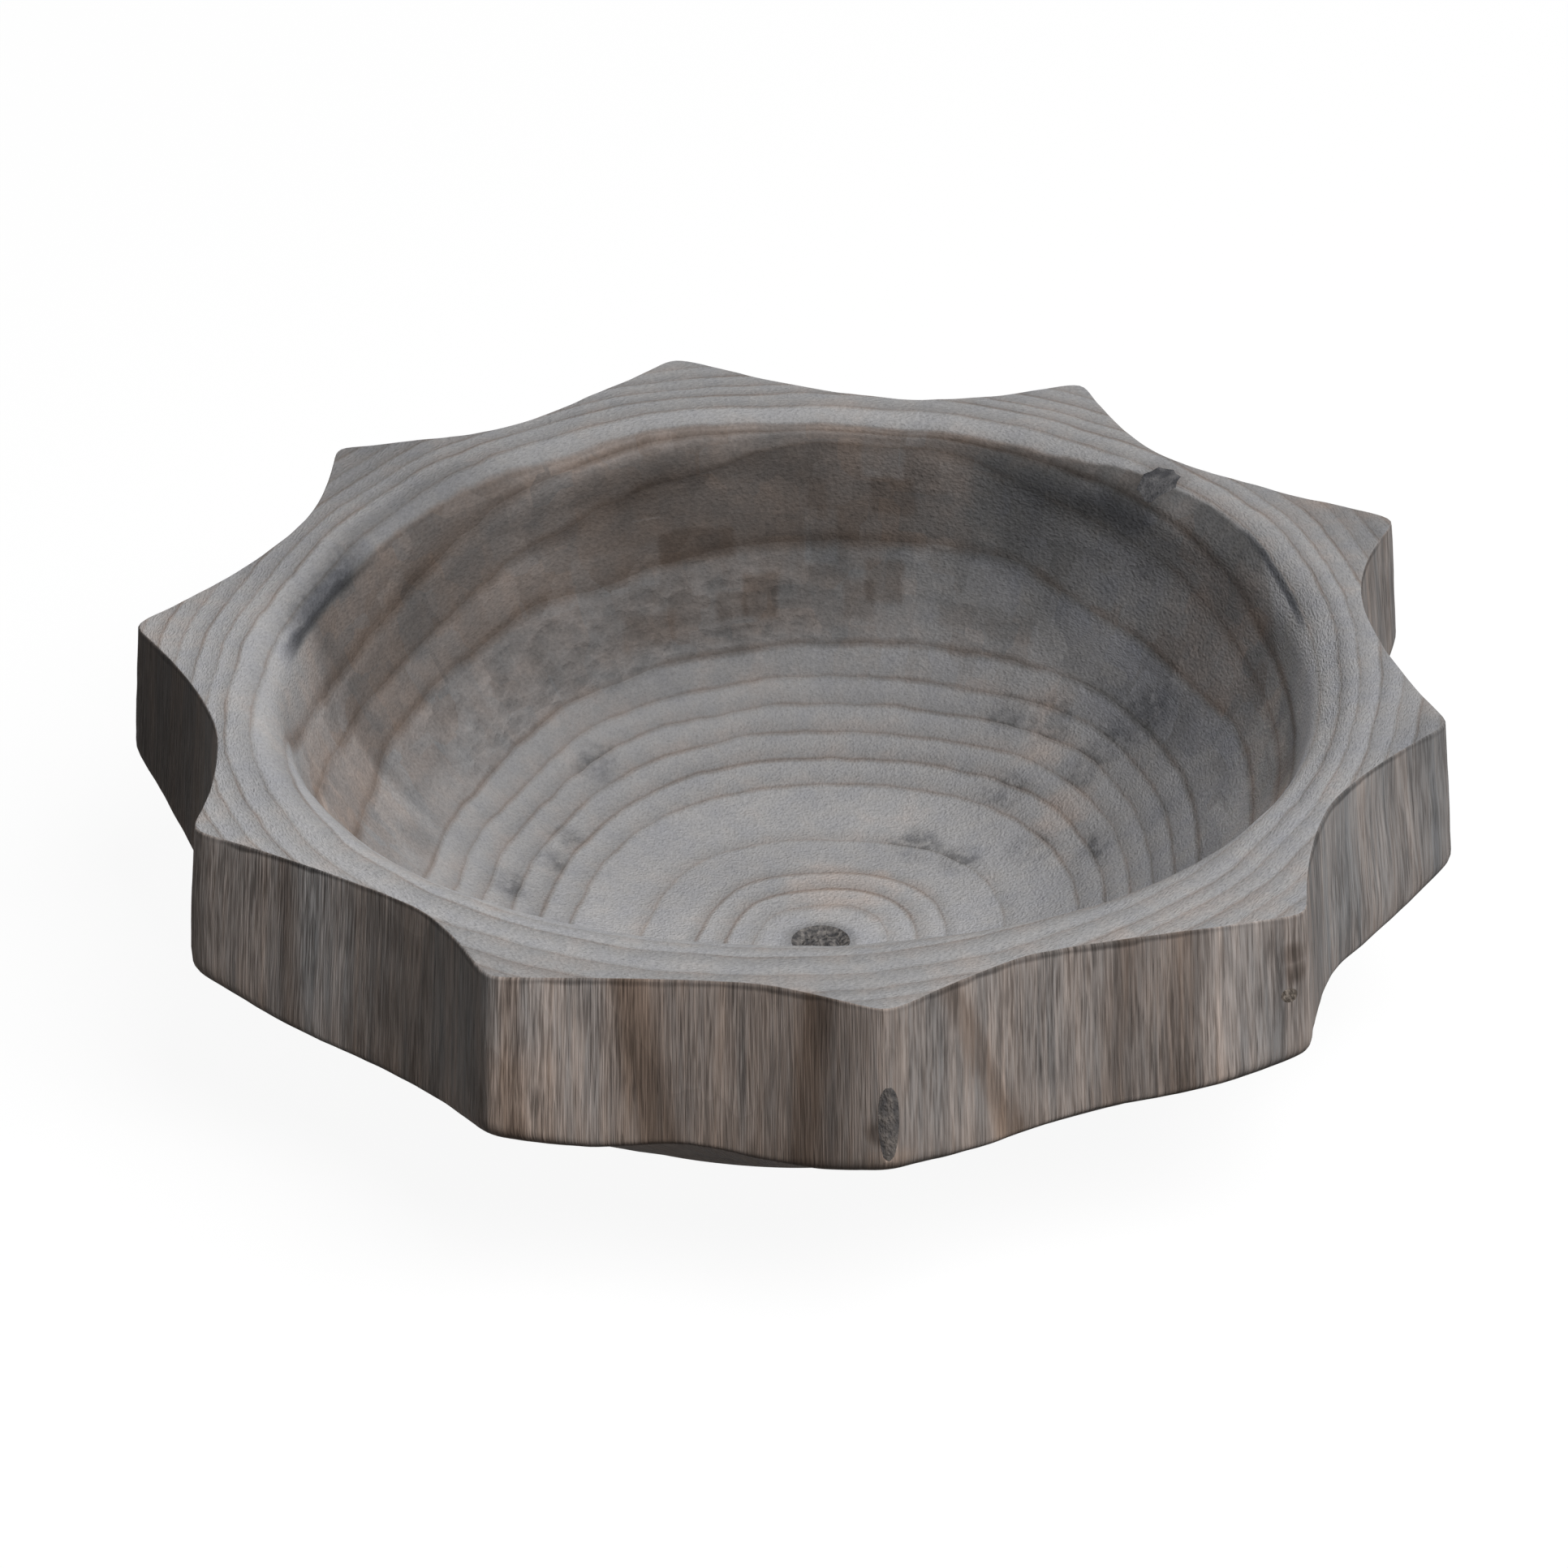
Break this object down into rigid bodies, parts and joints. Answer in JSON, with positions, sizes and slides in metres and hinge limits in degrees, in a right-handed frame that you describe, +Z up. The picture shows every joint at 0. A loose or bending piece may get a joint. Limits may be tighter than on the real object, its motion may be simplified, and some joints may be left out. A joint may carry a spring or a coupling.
{
  "type": "dough bowl",
  "caption": "Shallow carved wooden bowl from one log slice, with a round hollow, a fluted outside with blunt points and a flat round foot.",
  "frame": {"origin": "middle of the round foot, on the surface that the bowl stands on", "axes": "+Z up through the middle of the hollow, -Y towards the front of the picture, +X to its right"},
  "size_m": [0.3983, 0.4041, 0.108],
  "materials": {
    "carved_wood": "grey-washed end grain, sanded and matt",
    "pith_filling": "dark, rough and matt",
    "dark_filling": "dark grey, satin",
    "dead_knot": "blue-grey dead wood, matt",
    "pin_knot": "brown small knot, matt"
  },
  "bodies": {
    "root": {"bowl": "carved_wood", "pith_plug": "pith_filling", "rim_patch": "dark_filling", "point_knot": "dead_knot", "pin_knot": "pin_knot"}
  },
  "joints": []
}
